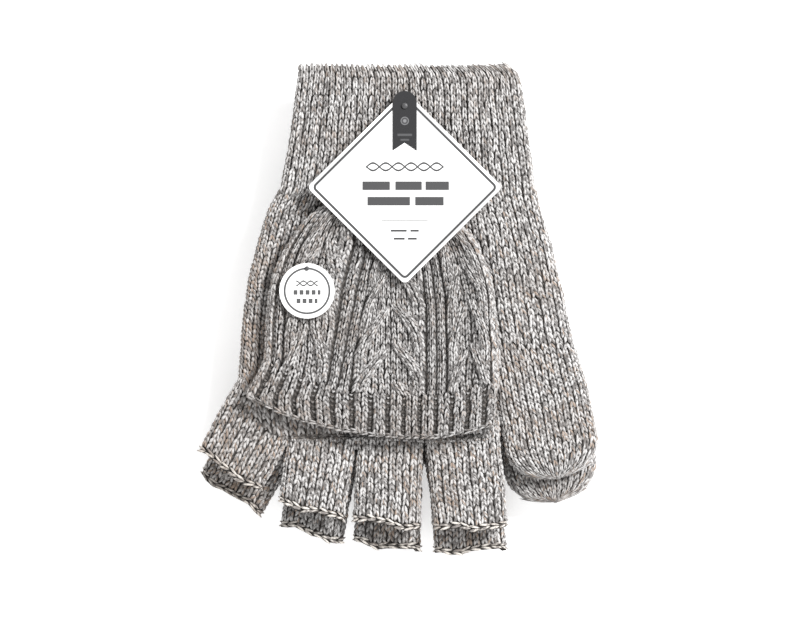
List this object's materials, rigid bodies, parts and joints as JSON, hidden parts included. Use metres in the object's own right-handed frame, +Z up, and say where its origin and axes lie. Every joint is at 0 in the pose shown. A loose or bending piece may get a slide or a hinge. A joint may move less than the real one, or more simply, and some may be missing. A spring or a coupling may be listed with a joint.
{
  "type": "convertible flip-top mittens",
  "caption": "Pair of ribbed-cuff knit fingerless gloves laid flat, each with a cabled mitten cap folded back over the hand, closed thumbs and card swing tags on plastic pins",
  "frame": {"origin": "on the table under the middle of the pair's outline", "axes": "+X towards the thumbs, +Y from the fingers to the cuffs, +Z up from the left glove's cap to the right glove's"},
  "size_m": [0.161, 0.1976, 0.0413],
  "materials": {
    "knit": "marled wool-blend plain knit",
    "ribbed_knit": "marled wool-blend rib",
    "cable_knit": "marled wool-blend cables",
    "edge_knit": "bound-off edge of paler yarn",
    "sewing_yarn": "dark sewing yarn",
    "tag_card": "printed card, smooth and matt",
    "tag_ribbon": "woven black ribbon",
    "pin_plastic": "clear white nylon"
  },
  "bodies": {
    "left_glove": {"left_cuff": "ribbed_knit", "left_hand": "knit", "left_little_finger": "knit", "left_ring_finger": "knit", "left_middle_finger": "knit", "left_index_finger": "knit", "left_little_edge": "edge_knit", "left_ring_edge": "edge_knit", "left_middle_edge": "edge_knit", "left_index_edge": "edge_knit", "left_cap_seam": "sewing_yarn", "swing_tag_pin": "pin_plastic"},
    "left_cap": {"left_cap_back": "knit", "left_cap_side": "knit", "left_cap_cable_panel": "cable_knit", "left_cap_hem": "ribbed_knit"},
    "left_thumb": {"left_thumb": "knit"},
    "right_glove": {"right_cuff": "ribbed_knit", "right_hand": "knit", "right_little_finger": "knit", "right_ring_finger": "knit", "right_middle_finger": "knit", "right_index_finger": "knit", "right_little_edge": "edge_knit", "right_ring_edge": "edge_knit", "right_middle_edge": "edge_knit", "right_index_edge": "edge_knit", "right_cap_seam": "sewing_yarn"},
    "right_cap": {"right_cap_back": "knit", "right_cap_side": "knit", "right_cap_cable_panel": "cable_knit", "right_cap_hem": "ribbed_knit", "round_tag_pin": "pin_plastic"},
    "right_thumb": {"right_thumb": "knit"},
    "swing_tag": {"swing_tag_card": "tag_card", "swing_tag_ribbon": "tag_ribbon"},
    "round_tag": {"round_tag_card": "tag_card"}
  },
  "joints": [
    {"name": "left_cap_flip", "type": "hinge", "parent": "left_glove", "child": "left_cap", "pos_m": [-0.0082, -0.06116, 0.0087], "axis": [-1, 0, 0], "range_deg": [0, 180], "deforming": ["left_cap_side", "left_cap_cable_panel", "left_cap_hem"]},
    {"name": "left_thumb_splay", "type": "hinge", "parent": "left_glove", "child": "left_thumb", "pos_m": [0.0533, -0.02217, 0.0177], "axis": [0, 0, 1], "range_deg": [0, 25]},
    {"name": "glove_swivel", "type": "hinge", "parent": "left_glove", "child": "right_glove", "pos_m": [0.0027, 0.08224, 0.0192], "axis": [0, 0, 1], "range_deg": [-25, 25]},
    {"name": "right_cap_flip", "type": "hinge", "parent": "right_glove", "child": "right_cap", "pos_m": [-0.0082, -0.05117, 0.0282], "axis": [1, 0, 0], "range_deg": [0, 180], "deforming": ["right_cap_side", "right_cap_cable_panel", "right_cap_hem", "swing_tag_card", "swing_tag_ribbon"]},
    {"name": "right_thumb_splay", "type": "hinge", "parent": "right_glove", "child": "right_thumb", "pos_m": [0.0533, -0.01217, 0.0192], "axis": [0, 0, 1], "range_deg": [0, 25]},
    {"name": "swing_tag_swing", "type": "hinge", "parent": "left_glove", "child": "swing_tag", "pos_m": [0.0027, 0.08224, 0.03464], "axis": [0, 0.0872, 0.9962], "range_deg": [-30, 30]},
    {"name": "round_tag_swing", "type": "hinge", "parent": "right_cap", "child": "round_tag", "pos_m": [-0.0362, 0.01733, 0.0369], "axis": [0, 0, 1], "range_deg": [-45, 45]}
  ]
}
